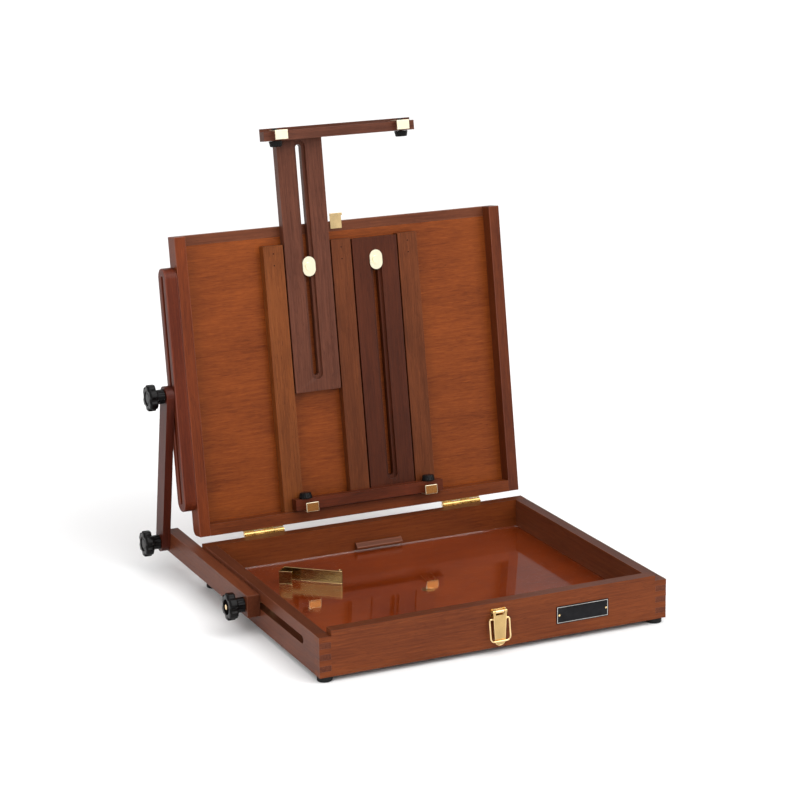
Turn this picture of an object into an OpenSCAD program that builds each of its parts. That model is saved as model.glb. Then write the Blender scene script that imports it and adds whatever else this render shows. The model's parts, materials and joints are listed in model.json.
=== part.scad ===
// Table-top sketch-box easel: a shallow wooden box whose hinged lid stands up as the easel.
// Two slotted masts slide in the lid, a side arm and strut hold the lid at its angle.
// Box frame: X to the right, Y to the back, Z up, from the box's front left bottom corner.
// Lid frame: x as the box, y behind the lid's rim plane, z up the lid from its hinge edge.

/* [Box] */
// Outside width of the box
box_w = 420; // [400:1:440]
// Outside depth of the box, front to back
box_d = 353; // [345:1:365]
// Height of the base's side and back walls
wall_h = 45.2; // [44:0.1:46]
// Thickness of the frame walls of the base and the lid
wall_t = 13.5; // [12.5:0.1:14.5]
// Height of the front wall's raised middle
lip_h = 51.4; // [50:0.1:51.4]
// Height of the rubber feet
foot_h = 6.5; // [5:0.5:8]

/* [Lid] */
// Depth of the lid's frame
lid_t = 23.5; // [23:0.5:25]
// Thickness of the lid's back panel
lid_panel_t = 6; // [5:0.5:6]
// How far the open lid leans back from upright, in degrees
lid_lean = 8.68; // [4:0.01:14]
// Gap between the rims of the closed box
rim_gap = 1; // [0.8:0.1:1.2]

/* [Masts] */
// Width of each mast
mast_w = 58; // [54:0.5:60]
// Distance from the middle of the box to the middle of each mast
mast_offset = 43.5; // [42:0.5:44]
// Width of the slot cut through a mast
slot_w = 7; // [6.6:0.2:8]
// Height of the mast clamps above the lid's hinge edge
clamp_s = 303; // [300:1:306]
// Length of the top holder bar and of the ledge
bar_len = 193; // [185:1:196]

/* [Side arm] */
// Width of the strut
strut_w = 23.5; // [20:0.5:24]
// Diameter of the lobed clamp knobs
knob_d = 31; // [28:0.5:32]
// Number of lobes on a clamp knob
knob_lobes = 6; // [5:1:7]

/* [Hidden] */
$fn = 48;
cut = 1;

// Colours, one name per material
wood = [0.55, 0.29, 0.17];
side_wood = [0.52, 0.33, 0.27];
panel_wood = [0.58, 0.32, 0.17];
mast_wood = [0.42, 0.26, 0.21];
brass = [0.93, 0.78, 0.45];
plastic = [0.06, 0.06, 0.07];
rubber = [0.05, 0.05, 0.05];
acrylic = [0.85, 0.9, 0.9, 0.5];

// The part's origin: the middle of its bounding box, at the feet
knob_h = 20.5;
side_gap = 0.3;
arm_t = 15.5;
strut_t = 9.7;
strut_x = -(arm_t + side_gap + strut_t);
x_min = strut_x - side_gap - knob_h;
mid_x = (x_min + box_w) / 2;

// Lid placing: the hinge pin sits behind the box; the closed lid lies rim_gap above the base
pin_y = box_d + 4.6;
pin_z = wall_h + 1.4;
open_angle = 90 + lid_lean;
pin_s = -(pin_y - box_d);
pin_t = pin_z - wall_h - rim_gap;
lid_y = pin_y - pin_s * sin(lid_lean) - pin_t * cos(lid_lean);
lid_z = pin_z - pin_s * cos(lid_lean) + pin_t * sin(lid_lean);
lid_len = box_d;
panel_front = lid_t - lid_panel_t;

// Front and back reach of the whole part: the hanging bail and the knobs behind the lid
latch_pin_y = -3.4;
bail_r = 1.1;
bail_drop = 25;
bail_tilt = 8;
washer_t = 1.2;
mast_knob_t = lid_t + washer_t + 0.2;
y_min = latch_pin_y - bail_drop * sin(bail_tilt) - bail_r;
y_max = lid_y + (clamp_s + knob_d / 2) * sin(lid_lean) + (mast_knob_t + knob_h) * cos(lid_lean);
mid_y = (y_min + y_max) / 2;

module place() { translate([-mid_x, -mid_y, foot_h]) children(); }
module on_lid() { place() translate([0, lid_y, lid_z]) rotate([-lid_lean, 0, 0]) children(); }

// ---- Small shape helpers ----
module block(x0, x1, y0, y1, z0, z1) { translate([x0, y0, z0]) cube([x1 - x0, y1 - y0, z1 - z0]); }
// Outlines drawn in (y, z) and run along X, or drawn in (x, z) and run along Y
module along_x(x0, x1) { translate([x0, 0, 0]) rotate([90, 0, 90]) linear_extrude(x1 - x0) children(); }
module along_y(y0, y1) { translate([0, y1, 0]) rotate([90, 0, 0]) linear_extrude(y1 - y0) children(); }
module rod_x(x0, x1, y, z, r) { translate([x0, y, z]) rotate([0, 90, 0]) cylinder(h = x1 - x0, r = r); }
module rod_y(y0, y1, x, z, r) { translate([x, y0, z]) rotate([-90, 0, 0]) cylinder(h = y1 - y0, r = r); }
module stadium(x, y0, y1, r) {
    translate([x - r, y0 + r]) square([2 * r, y1 - y0 - 2 * r]);
    for (y = [y0 + r, y1 - r]) translate([x, y]) circle(r);
}
module round_rect(x0, x1, y0, y1, r) {
    translate([x0 + r, y0]) square([x1 - x0 - 2 * r, y1 - y0]);
    translate([x0, y0 + r]) square([x1 - x0, y1 - y0 - 2 * r]);
    for (x = [x0 + r, x1 - r], y = [y0 + r, y1 - r]) translate([x, y]) circle(r);
}
// Countersunk screw along -Z, its flat head's top at the origin
module screw(head_r, shank_r, len) {
    rotate_extrude() polygon([[0, 0], [head_r, 0], [shank_r, -head_r + shank_r],
        [shank_r, -len], [0, -len]]);
}

// ---- Base ----
finger_count = 7;
finger_h = wall_h / finger_count;
panel_z0 = 3;
panel_z1 = 8;
groove = 4;
fit = 0.1;
lip_side = 0.7;

// The rows of a corner joint that belong to the side walls
module side_fingers(x0, x1, y0, y1) {
    for (k = [1:2:finger_count - 2]) block(x0, x1, y0, y1, k * finger_h, (k + 1) * finger_h);
}
module end_fingers(x0, x1, y0, y1) {
    top_row = finger_count - 1;
    for (k = [0:2:top_row]) block(x0, x1, y0, y1,
        k * finger_h - (k == 0 ? cut : 0), (k + 1) * finger_h + (k == top_row ? cut : 0));
}
module bottom_groove() {
    in = wall_t - groove;
    block(in, box_w - in, in, box_d - in, panel_z0, panel_z1);
}
module cross_wall(y0) {
    difference() {
        block(0, box_w, y0, y0 + wall_t, 0, wall_h);
        side_fingers(-cut, wall_t, y0 - cut, y0 + wall_t + cut);
        side_fingers(box_w - wall_t, box_w + cut, y0 - cut, y0 + wall_t + cut);
        bottom_groove();
    }
}
module side_wall(x0) {
    difference() {
        block(x0, x0 + wall_t, 0, box_d, 0, wall_h);
        end_fingers(x0 - cut, x0 + wall_t + cut, -cut, wall_t);
        end_fingers(x0 - cut, x0 + wall_t + cut, box_d - wall_t, box_d + cut);
        bottom_groove();
    }
}
module base_front_wall() {
    color(wood) place() difference() {
        union() {
            cross_wall(0);
            block(wall_t + lip_side, box_w - wall_t - lip_side, 0, wall_t, wall_h, lip_h);
        }
        latch_screw_places() screw(latch_screw_r + fit, latch_shank_r + fit, latch_screw_len + fit);
    }
}

hinge_x = [55, 315];
hinge_len = 50;
module base_back_wall() {
    color(wood) place() difference() {
        cross_wall(box_d - wall_t);
        base_hinge_screws() hinge_screw_hole();
    }
}

arm_slot_y0 = 44;
arm_slot_y1 = 226;
arm_bolt_z = 27.9;
arm_slot_r = 4.6;
module base_left_wall() {
    color(side_wood) place() difference() {
        side_wall(0);
        along_x(-cut, wall_t + cut) {
            translate([arm_slot_y0 + arm_slot_r, arm_bolt_z - arm_slot_r])
                square([arm_slot_y1 - arm_slot_y0 - 2 * arm_slot_r, 2 * arm_slot_r]);
            for (y = [arm_slot_y0 + arm_slot_r, arm_slot_y1 - arm_slot_r])
                translate([y, arm_bolt_z]) circle(arm_slot_r);
        }
    }
}
module base_right_wall() { color(side_wood) place() side_wall(box_w - wall_t); }

tripod_x = box_w / 2;
tripod_y = box_d / 2;
tripod_boss_r = 8;
tripod_flange_r = 22;
tripod_flange_z = 0.5;
tripod_thread_r = 3.175;
tripod_screw_r = 15;
module tripod_screw_places() {
    for (a = [90, 210, 330])
        translate([tripod_x + tripod_screw_r * cos(a), tripod_y + tripod_screw_r * sin(a), tripod_flange_z])
            rotate([180, 0, 0]) children();
}
module base_bottom_panel() {
    color(panel_wood) place() difference() {
        block(wall_t - groove + fit, box_w - wall_t + groove - fit, wall_t - groove + fit,
            box_d - wall_t + groove - fit, panel_z0, panel_z1);
        translate([tripod_x, tripod_y, panel_z0 - cut]) cylinder(h = panel_z1 + cut, r = tripod_boss_r);
        tripod_screw_places() screw(3, 1.4, 6.5);
    }
}
module tripod_insert() {
    color(brass) place() difference() {
        translate([tripod_x, tripod_y, 0]) union() {
            translate([0, 0, tripod_flange_z])
                cylinder(h = panel_z0 - tripod_flange_z, r = tripod_flange_r);
            translate([0, 0, panel_z0]) cylinder(h = panel_z1 - panel_z0, r = tripod_boss_r);
        }
        translate([tripod_x, tripod_y, -cut]) cylinder(h = panel_z1 + 2 * cut, r = tripod_thread_r);
        tripod_screw_places() screw(3, 1.4, 6.5);
    }
}
module tripod_insert_screws() { color(brass) place() tripod_screw_places() screw(3, 1.4, 6.5); }

foot_inset = 9.5;
foot_r = 8.75;
module rubber_feet() {
    color(rubber) place()
        for (x = [foot_inset, box_w - foot_inset], y = [foot_inset, box_d - foot_inset])
            translate([x, y, -foot_h])
                rotate_extrude() polygon([[0, 2.5], [4, 2.5], [4, 0], [foot_r - 1, 0], [foot_r - 0.3, 0.7],
                    [foot_r, foot_h], [0, foot_h]]);
}

palette_z0 = 8.3;
palette_z1 = 12.5;
palette_gap = 0.5;
palette_back_gap = 1.2;
// Room for the arm bolt's head, so the palette lifts out past it
palette_left_gap = 4.9;
module palette() {
    color(acrylic) place() block(wall_t + palette_left_gap, box_w - wall_t - palette_gap,
        wall_t + palette_gap, box_d - wall_t - palette_back_gap, palette_z0, palette_z1);
}
// Bevelled block on the back wall that keeps the palette's rear edge down
cleat_x = [189, 249];
module palette_cleat() {
    color(wood) place() along_x(cleat_x[0], cleat_x[1]) {
        back = box_d - wall_t;
        polygon([[back, 13.3], [back, 22.5], [back - 4, 22.5], [back - 8.3, 18], [back - 8.3, 15.6]]);
    }
}

// ---- Brass clip standing on the palette: a bent strip with a hooked left end and a curled right end ----
clip_strip_h = 16;
clip_strip_t = 1.2;
clip_path = [[74.1, 257.6], [62.6, 266.1], [74, 278.8], [91.4, 263.1], [124, 234.6]];
bend_r = 0.7;
curl_r = 3.3;
curl_inset = 0.1;
curl_overlap = 0.4;
clip_run = clip_path[4] - clip_path[3];
module strip_run(a, b) {
    run = b - a;
    translate(a) rotate(atan2(run[1], run[0]))
        translate([0, -clip_strip_t / 2]) square([norm(run), clip_strip_t]);
    translate(a) circle(bend_r);
}
module brass_clip() {
    color(brass) place() translate([0, 0, palette_z1]) linear_extrude(clip_strip_h) {
        for (i = [0:len(clip_path) - 2]) strip_run(clip_path[i], clip_path[i + 1]);
        translate(clip_path[4]) rotate(atan2(clip_run[1], clip_run[0])) difference() {
            translate([0, curl_r - clip_strip_t / 2]) circle(curl_r - curl_inset);
            translate([0, curl_r - clip_strip_t / 2]) circle(curl_r - clip_strip_t + curl_inset);
            translate([-2 * curl_r, -curl_r])
                square([2 * curl_r - curl_overlap, 2 * curl_r - clip_strip_t / 2]);
        }
    }
}

// ---- Nameplate ----
plate_x = [281.5, 346.2];
plate_z = [14.5, 34.5];
plate_t = 0.8;
rivet_inset = 3.2;
module rivet_places() {
    for (x = [plate_x[0] + rivet_inset, plate_x[1] - rivet_inset])
        translate([x, 0, (plate_z[0] + plate_z[1]) / 2]) children();
}
module nameplate() {
    color(plastic) place() difference() {
        along_y(-plate_t, 0) round_rect(plate_x[0], plate_x[1], plate_z[0], plate_z[1], 0.8);
        rivet_places() rod_y(-2, cut, 0, 0, 0.8);
    }
}
module nameplate_rivets() {
    color(brass) place() rivet_places() {
        rod_y(-plate_t, 0, 0, 0, 0.8);
        rod_y(-plate_t - 0.5, -plate_t, 0, 0, 1.2);
    }
}

// ---- Front latch: T-shaped plate with a middle knuckle, lever between its own two curled ears,
// ---- and a wire bail, with the strike on the lid ----
latch_x = box_w / 2;
latch_plate_t = 1;
latch_pin_z = 42;
latch_screw_z = [10, 30];
latch_screw_r = 1.9;
latch_shank_r = 0.8;
latch_screw_len = 7;
plate_half_low = 6;
plate_half_top = 9;
latch_knuckle_half = 4.9;
latch_knuckle_r = 1.9;
module latch_screw_places() {
    for (z = latch_screw_z) translate([latch_x, -latch_plate_t, z]) rotate([90, 0, 0]) children();
}
module latch_plate() {
    color(brass) place() {
        difference() {
            along_y(-latch_plate_t, 0) {
                round_rect(latch_x - plate_half_low, latch_x + plate_half_low, 6, 40, 2);
                round_rect(latch_x - plate_half_top, latch_x + plate_half_top, 35, 45, 1.5);
            }
            latch_screw_places() translate([0, 0, 0.01])
                screw(latch_screw_r + fit, latch_shank_r + fit, latch_screw_len);
        }
        block(latch_x - latch_knuckle_half, latch_x + latch_knuckle_half, latch_pin_y,
            -latch_plate_t / 2, latch_pin_z + 0.5, latch_pin_z + latch_knuckle_r);
        rod_x(latch_x - latch_knuckle_half, latch_x + latch_knuckle_half, latch_pin_y, latch_pin_z,
            latch_knuckle_r);
        rod_x(latch_x - lug_out - 0.3, latch_x + lug_out + 0.3, latch_pin_y, latch_pin_z, bail_r);
    }
}
module latch_screws() {
    color(brass) place() latch_screw_places() screw(latch_screw_r, latch_shank_r, latch_screw_len);
}

lever_t = 1.2;
bail_pin_z = 34;
bail_half = 11.9;
lever_half_top = 8.2;
lever_half_low = 6.6;
lever_z0 = 3.5;
lug_in = 5;
lug_out = 8.6;
lever_ear_r = 2.2;
lever_notch_half = 5.2;
lever_face_top = 38.6;
module latch_lever() {
    color(brass) place() translate([latch_x, 0, 0]) difference() {
        union() {
            for (s = [-1, 1]) rod_x(s > 0 ? lever_notch_half : -lug_out,
                s > 0 ? lug_out : -lever_notch_half, latch_pin_y, latch_pin_z, lever_ear_r);
            along_y(latch_pin_y - 2, latch_pin_y - 2 + lever_t) {
                polygon([[-lever_half_top, latch_pin_z], [-lever_notch_half, latch_pin_z],
                    [-lever_notch_half, lever_face_top], [lever_notch_half, lever_face_top],
                    [lever_notch_half, latch_pin_z], [lever_half_top, latch_pin_z],
                    [lever_half_low, lever_z0 + lever_half_low],
                    [-lever_half_low, lever_z0 + lever_half_low]]);
                translate([0, lever_z0 + lever_half_low]) circle(lever_half_low);
            }
            for (s = [-1, 1])
                rod_x(s > 0 ? lug_in : -lug_out, s > 0 ? lug_out : -lug_in, latch_pin_y, bail_pin_z, 1.9);
        }
        for (z = [latch_pin_z, bail_pin_z])
            rod_x(-lug_out - cut, lug_out + cut, latch_pin_y, z, bail_r + running);
    }
}
bail_corner = 3;
module latch_bail() {
    color(brass) place() translate([latch_x, latch_pin_y, bail_pin_z]) rotate([-bail_tilt, 0, 0]) {
        for (s = [-1, 1]) {
            rod_x(s > 0 ? 6 : -bail_half, s > 0 ? bail_half : -6, 0, 0, bail_r);
            translate([s * bail_half, 0, 0]) sphere(bail_r);
            translate([s * bail_half, 0, -bail_drop + bail_corner])
                cylinder(h = bail_drop - bail_corner, r = bail_r);
            translate([s * (bail_half - bail_corner), 0, -bail_drop + bail_corner])
                rotate([90, s > 0 ? 90 : 180, 0])
                    rotate_extrude(angle = 90) translate([bail_corner, 0]) circle(bail_r);
        }
        rod_x(-bail_half + bail_corner, bail_half - bail_corner, 0, -bail_drop, bail_r);
    }
}

strike_half = 7.35;
strike_out = 9.5;
strike_leaf = 9;
module latch_strike() {
    color(brass) on_lid() translate([latch_x, 0, 0]) along_x(-strike_half, strike_half) {
        translate([panel_front - 1.2, lid_len - strike_leaf]) square([1.2, strike_leaf + strike_out]);
        translate([panel_front - 4.6, lid_len + strike_out - 1.2]) square([4.6, 1.2]);
        translate([panel_front - 4.6, lid_len + strike_out - 3.2]) square([1.2, 3.2]);
    }
}

// ---- Surface hinges: four knuckles each, the first and third on the lid ----
leaf_t = 1.3;
leaf_h = 14.6;
leaf_top = pin_z - 0.7;
knuckle_r = 3;
knuckle_gap = 0.15;
knuckle_len = hinge_len / 4;
knuckle_web = 2.6;
hinge_pin_r = 1.2;
hinge_pin_head_r = 2.1;
running = 0.06;
hinge_screw_r = 2.5;
hinge_shank_r = 1.2;
hinge_screw_len = 11.5;
module hinge_screw() { screw(hinge_screw_r, hinge_shank_r, hinge_screw_len); }
module hinge_screw_hole() {
    translate([0, 0, 0.01]) screw(hinge_screw_r + fit, hinge_shank_r + fit, hinge_screw_len + 0.5);
}
module base_hinge_screws() {
    for (x = hinge_x, dx = [9, hinge_len - 9])
        translate([x + dx, box_d + leaf_t, leaf_top - leaf_h / 2]) rotate([-90, 0, 0]) children();
}
module lid_hinge_screws() {
    for (x = hinge_x, dx = [9, hinge_len - 9])
        translate([x + dx, pin_t + leaf_h / 2, -leaf_t]) rotate([180, 0, 0]) children();
}
function knuckle_x(x, k) = [x + k * knuckle_len + knuckle_gap, x + (k + 1) * knuckle_len - knuckle_gap];
module hinge_base_leaves() {
    color(brass) place() difference() {
        for (x = hinge_x) {
            block(x + fit, x + hinge_len - fit, box_d, box_d + leaf_t, leaf_top - leaf_h, leaf_top);
            for (k = [1, 3], e = [knuckle_x(x, k)]) {
                block(e[0], e[1], box_d, pin_y - hinge_pin_r, pin_z - knuckle_web, pin_z);
                rod_x(e[0], e[1], pin_y, pin_z, knuckle_r);
            }
        }
        for (x = hinge_x) rod_x(x - cut, x + hinge_len + cut, pin_y, pin_z, hinge_pin_r);
        base_hinge_screws() hinge_screw_hole();
    }
}
module hinge_pins() {
    color(brass) place() for (x = hinge_x) {
        rod_x(x + knuckle_gap, x + hinge_len - knuckle_gap, pin_y, pin_z, hinge_pin_r);
        rod_x(x - 0.5, x + knuckle_gap, pin_y, pin_z, hinge_pin_head_r);
        rod_x(x + hinge_len - knuckle_gap, x + hinge_len + 0.5, pin_y, pin_z, hinge_pin_head_r);
    }
}
module hinge_base_screws() { color(brass) place() base_hinge_screws() hinge_screw(); }
module hinge_lid_leaves() {
    color(brass) on_lid() difference() {
        for (x = hinge_x) {
            block(x + fit, x + hinge_len - fit, pin_t, pin_t + leaf_h, -leaf_t, 0);
            for (k = [0, 2], e = [knuckle_x(x, k)]) {
                block(e[0], e[1], pin_t, pin_t + knuckle_web, pin_s + hinge_pin_r, 0);
                rod_x(e[0], e[1], pin_t, pin_s, knuckle_r);
            }
        }
        for (x = hinge_x) rod_x(x - cut, x + hinge_len + cut, pin_t, pin_s, hinge_pin_r + running);
        lid_hinge_screws() hinge_screw_hole();
    }
}
module hinge_lid_screws() { color(brass) on_lid() lid_hinge_screws() hinge_screw(); }

// ---- Lid frame ----
lid_corner_r = 8;
top_rail_s = lid_len - 12;
module lid_side(x0) {
    on_lid() along_x(x0, x0 + wall_t) {
        translate([0, lid_corner_r]) square([lid_t, lid_len - lid_corner_r]);
        square([lid_t - lid_corner_r, lid_corner_r]);
        translate([lid_t - lid_corner_r, lid_corner_r]) circle(lid_corner_r);
    }
}
module lid_left_wall() { color(side_wood) lid_side(0); }
module lid_right_wall() { color(side_wood) lid_side(box_w - wall_t); }
module lid_bottom_rail() {
    color(mast_wood) on_lid() difference() {
        along_x(wall_t, box_w - wall_t) {
            translate([0, lid_corner_r]) square([lid_t, wall_t - lid_corner_r]);
            square([lid_t - lid_corner_r, lid_corner_r]);
            translate([lid_t - lid_corner_r, lid_corner_r]) circle(lid_corner_r);
        }
        lid_hinge_screws() hinge_screw_hole();
        // Trims what the rounded corner's circle adds above the rail
        block(wall_t - cut, box_w - wall_t + cut, -cut, lid_t + cut, wall_t, 3 * wall_t);
    }
}
module lid_top_rail() {
    color(mast_wood) on_lid() block(wall_t, box_w - wall_t, panel_front, lid_t, top_rail_s, lid_len);
}
mast_x = [box_w / 2 - mast_offset, box_w / 2 + mast_offset];
mast_bolt_r = 3;
module lid_panel() {
    color(panel_wood) on_lid() difference() {
        block(wall_t, box_w - wall_t, panel_front, lid_t, wall_t, top_rail_s);
        for (x = mast_x) rod_y(panel_front - cut, lid_t + cut, x, clamp_s, mast_bolt_r + 0.05);
    }
}

// ---- Battens that form the two mast channels ----
batten_w = 25;
batten_front = 5.8;
batten_top = 331.5;
batten_x = [for (i = [-1:1]) box_w / 2 + i * 2 * mast_offset];
nail_s = [308, 322];
module batten(i) {
    color(wood) on_lid() difference() {
        block(batten_x[i] - batten_w / 2, batten_x[i] + batten_w / 2, batten_front, panel_front,
            wall_t, batten_top);
        for (s = nail_s) rod_y(batten_front - cut, panel_front + cut, batten_x[i], s, 0.8);
    }
}
module batten_left() { batten(0); }
module batten_middle() { batten(1); }
module batten_right() { batten(2); }
module batten_nails() {
    color(mast_wood) on_lid() for (x = batten_x, s = nail_s) rod_y(batten_front, panel_front, x, s, 0.8);
}

// ---- Masts: boards with a stepped slot, the clamp bolt passing through ----
mast_front = 5.5;
mast_back = panel_front - 0.2;
recess_w = 14.5;
recess_deep = 4;
recess_step = 4.5;
upper_s = [154, 465.5];
upper_recess = [168, 452];
lower_s = [15, 330];
lower_recess = [35.5, 314];
module mast(x, s, recess) {
    difference() {
        block(x - mast_w / 2, x + mast_w / 2, mast_front, mast_back, s[0], s[1]);
        along_y(mast_front - cut, mast_front + recess_deep)
            stadium(x, recess[0], recess[1], recess_w / 2);
        along_y(mast_front, mast_back + cut)
            stadium(x, recess[0] + recess_step, recess[1] - recess_step, slot_w / 2);
    }
}
top_screw_s = 460;
ledge_screw_s = 22;
bar_screw_r = 3;
bar_shank_r = 1.5;
bar_screw_len = 19;
module bar_screw_places(x, s) {
    for (dx = [-19, 19]) translate([x + dx, mast_back, s]) rotate([-90, 0, 0]) children();
}
module bar_screw() { screw(bar_screw_r, bar_shank_r, bar_screw_len); }
module bar_screw_hole() {
    translate([0, 0, 0.01]) screw(bar_screw_r + fit, bar_shank_r + fit, bar_screw_len + 1);
}
module upper_mast() {
    color(mast_wood) on_lid() difference() {
        mast(mast_x[0], upper_s, upper_recess);
        bar_screw_places(mast_x[0], top_screw_s) bar_screw_hole();
    }
}
module lower_mast() {
    color(mast_wood) on_lid() difference() {
        mast(mast_x[1], lower_s, lower_recess);
        bar_screw_places(mast_x[1], ledge_screw_s) bar_screw_hole();
    }
}
module bar_screws_top() { color(brass) on_lid() bar_screw_places(mast_x[0], top_screw_s) bar_screw(); }
module bar_screws_ledge() { color(brass) on_lid() bar_screw_places(mast_x[1], ledge_screw_s) bar_screw(); }

// ---- Top holder bar and ledge, both fixed across the front of a mast ----
bar_back = 5.2;
top_bar_front = -8.9;
top_bar_s = [454.2, 465.5];
fence_t = 3.1;
fence_s = 468.9;
top_bar_mid = 214;
ledge_front = -8.2;
ledge_s = [15.5, 28.7];
ledge_mid = 217;
clip_dx = 80.75;
top_stud_t = -4.5;
ledge_stud_t = -4.2;
ledge_stud_mid = ledge_mid - 1.5;
stud_r = 2;
module stud_bores(mid, t, s0, s1) {
    for (s = [-1, 1]) translate([mid + s * clip_dx, t, s0]) cylinder(h = s1 - s0, r = stud_r + running);
}
module top_holder_bar() {
    ends = [top_bar_mid - bar_len / 2, top_bar_mid + bar_len / 2];
    color(mast_wood) on_lid() difference() {
        union() {
            block(ends[0], ends[1], top_bar_front, bar_back, top_bar_s[0], top_bar_s[1]);
            block(ends[0], ends[1], fence_t, bar_back, top_bar_s[0], fence_s);
            block(mast_x[0] - mast_w / 2, mast_x[0] + mast_w / 2, fence_t, mast_front,
                top_bar_s[0], top_bar_s[1]);
        }
        stud_bores(top_bar_mid, top_stud_t, top_bar_s[0] - cut, top_bar_s[1] + cut);
        bar_screw_places(mast_x[0], top_screw_s) bar_screw_hole();
    }
}
module ledge_bar() {
    ends = [ledge_mid - bar_len / 2, ledge_mid + bar_len / 2];
    color(mast_wood) on_lid() difference() {
        union() {
            block(ends[0], ends[1], ledge_front, bar_back, ledge_s[0], ledge_s[1]);
            block(mast_x[1] - mast_w / 2, mast_x[1] + mast_w / 2, 0, mast_front, ledge_s[0], ledge_s[1]);
        }
        stud_bores(ledge_stud_mid, ledge_stud_t, ledge_s[0] - cut, ledge_s[1] + cut);
        bar_screw_places(mast_x[1], ledge_screw_s) bar_screw_hole();
    }
}

// ---- Canvas clips: a bent brass plate on a fork that straddles its thumb screw ----
clip_w = 16;
clip_h = 11;
clip_t = 1.2;
clip_reach = 10;
clip_inset = 2.8;
fork_w = 6.4;
// Drawn for a fork lying on a face at z = 0, with the stud at (0, 0)
// side is +1 or -1, and up says which way the plate stands
module canvas_clip(side, up, front, back) {
    plate_x = -side * clip_inset;
    plate_y = front - clip_reach;
    z_leg = up > 0 ? -clip_t : 0;
    difference() {
        union() {
            block(plate_x - clip_w / 2, plate_x + clip_w / 2, plate_y, back, z_leg, z_leg + clip_t);
            along_y(plate_y, plate_y + clip_t) round_rect(plate_x - clip_w / 2, plate_x + clip_w / 2,
                up > 0 ? -clip_t : clip_t - clip_h, up > 0 ? clip_h - clip_t : clip_t, 0.6);
        }
        block(-fork_w / 2, fork_w / 2, front - clip_reach + 4, back + cut, -2 * clip_t, 2 * clip_t);
    }
}
module top_clip(side) {
    color(brass) on_lid() translate([top_bar_mid + side * clip_dx, top_stud_t, top_bar_s[1]])
        canvas_clip(side, -1, top_bar_front - top_stud_t, 1 - top_stud_t);
}
module ledge_clip(side) {
    color(brass) on_lid() translate([ledge_stud_mid + side * clip_dx, ledge_stud_t, ledge_s[0]])
        canvas_clip(side, 1, ledge_front - ledge_stud_t, 1 - ledge_stud_t);
}
module clip_top_left() { top_clip(-1); }
module clip_top_right() { top_clip(1); }
module clip_ledge_left() { ledge_clip(-1); }
module clip_ledge_right() { ledge_clip(1); }

// Thumb screw with its knob below z = 0 and its stud up through a bar of the given height
thumb_r = 8.1;
thumb_low_r = 7;
thumb_h = 7;
stud_head_r = 3.6;
stud_gap = 0.15;
top_head_h = 1.75;
// Peened almost flat, since the back wall passes close below it as the lid shuts
ledge_head_h = 0.25;
module thumb_screw(bar_h, head_h) {
    head_z = bar_h + clip_t + stud_gap;
    rotate_extrude() polygon([[0, -thumb_h - 0.3], [thumb_low_r - 0.8, -thumb_h - 0.3],
        [thumb_low_r, -thumb_h + 0.5], [thumb_r, -1.5], [thumb_r, -0.3], [stud_r, -0.3],
        [stud_r, head_z], [stud_head_r, head_z], [stud_head_r, head_z + head_h],
        [0, head_z + head_h]]);
}
module top_thumb(side) {
    color(plastic) on_lid() translate([top_bar_mid + side * clip_dx, top_stud_t, top_bar_s[0]])
        thumb_screw(top_bar_s[1] - top_bar_s[0], top_head_h);
}
module ledge_thumb(side) {
    color(plastic) on_lid() translate([ledge_stud_mid + side * clip_dx, ledge_stud_t, ledge_s[1]])
        rotate([180, 0, 0]) thumb_screw(ledge_s[1] - ledge_s[0], ledge_head_h);
}
module thumb_screw_top_left() { top_thumb(-1); }
module thumb_screw_top_right() { top_thumb(1); }
module thumb_screw_ledge_left() { ledge_thumb(-1); }
module thumb_screw_ledge_right() { ledge_thumb(1); }

// ---- Clamp knob, its hub's face at the origin and its axis along +Z ----
hub_r = 8.7;
hub_h = 10.5;
bolt_r = 3;
scallop_r = 3.6;
scallop_in = 1.9;
module clamp_knob(bore_h) {
    difference() {
        union() {
            cylinder(h = hub_h, r = hub_r);
            translate([0, 0, hub_h]) cylinder(h = knob_h - hub_h, r = knob_d / 2);
        }
        for (i = [0:knob_lobes - 1]) rotate(i * 360 / knob_lobes)
            translate([knob_d / 2 + scallop_r - scallop_in, 0, hub_h - cut])
                cylinder(h = knob_h, r = scallop_r);
        translate([0, 0, -cut]) cylinder(h = bore_h + cut, r = bolt_r + running);
    }
}

// ---- Mast clamps: oval brass plate in front, washer and knob behind ----
oval = [16.3, 23.5];
oval_t = 1.2;
oval_front = mast_front - 0.1 - oval_t;
bolt_head_t = 1.6;
module mast_clamp_plates() {
    color(brass) on_lid() for (x = mast_x) {
        difference() {
            along_y(oval_front, oval_front + oval_t)
                stadium(x, clamp_s - oval[1] / 2, clamp_s + oval[1] / 2, oval[0] / 2);
            rod_y(oval_front - cut, mast_front, x, clamp_s, mast_bolt_r + 0.05);
        }
        difference() {
            rod_y(lid_t, lid_t + washer_t, x, clamp_s, 10);
            rod_y(lid_t - cut, lid_t + 2 * washer_t, x, clamp_s, mast_bolt_r + 0.05);
        }
    }
}
module mast_bolts() {
    color(brass) on_lid() for (x = mast_x) {
        rod_y(oval_front - bolt_head_t, oval_front, x, clamp_s, 5);
        rod_y(oval_front, mast_knob_t + knob_h - 3.2, x, clamp_s, mast_bolt_r);
    }
}
module mast_knob(x) {
    color(plastic) on_lid() translate([x, mast_knob_t, clamp_s]) rotate([-90, 0, 0]) clamp_knob(knob_h - 3);
}
module mast_knob_left() { mast_knob(mast_x[0]); }
module mast_knob_right() { mast_knob(mast_x[1]); }

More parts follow.
